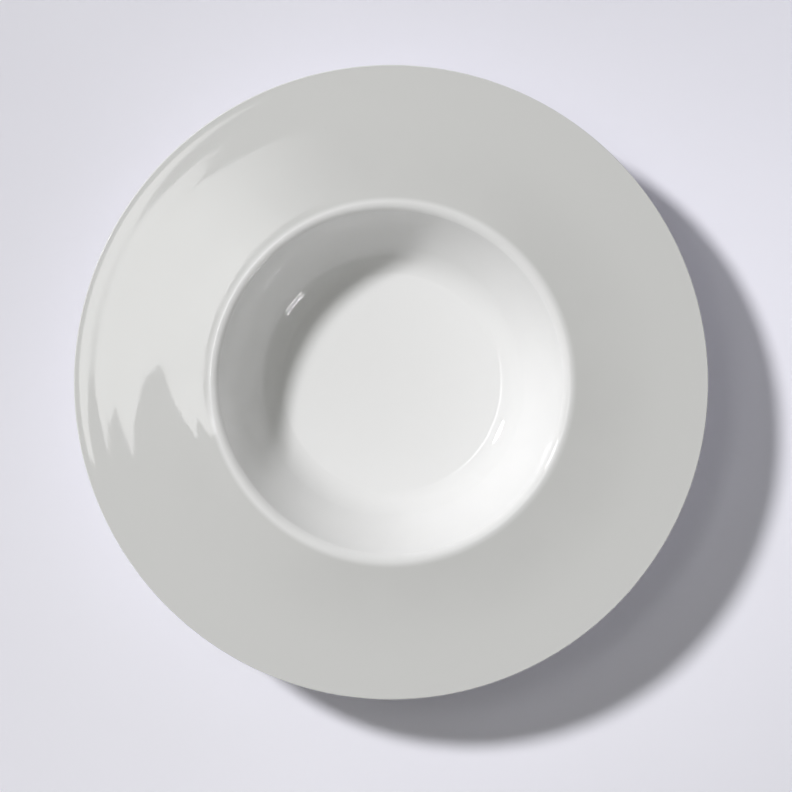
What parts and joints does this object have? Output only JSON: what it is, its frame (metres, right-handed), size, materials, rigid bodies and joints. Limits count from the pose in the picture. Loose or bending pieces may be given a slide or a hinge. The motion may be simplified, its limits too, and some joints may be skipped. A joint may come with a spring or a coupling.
{
  "type": "pasta bowl",
  "caption": "Round wide-rim pasta bowl in glazed porcelain: a deep well with a soft raised lip, a broad level rim and a plain foot ring to rest on.",
  "frame": {"origin": "centre of the foot ring's bearing plane, on the bowl's axis", "axes": "+Z up along the bowl's axis of revolution; +X points right and +Y up in the picture's straight-down view"},
  "size_m": [0.285, 0.285, 0.048],
  "materials": {
    "bare_porcelain": "matte",
    "white_glaze": "gloss",
    "pale_grey_glaze": "gloss"
  },
  "bodies": {
    "root": {"porcelain_body": "bare_porcelain", "well_glaze": "white_glaze", "rim_glaze": "pale_grey_glaze", "foot_recess_glaze": "pale_grey_glaze"}
  },
  "joints": []
}
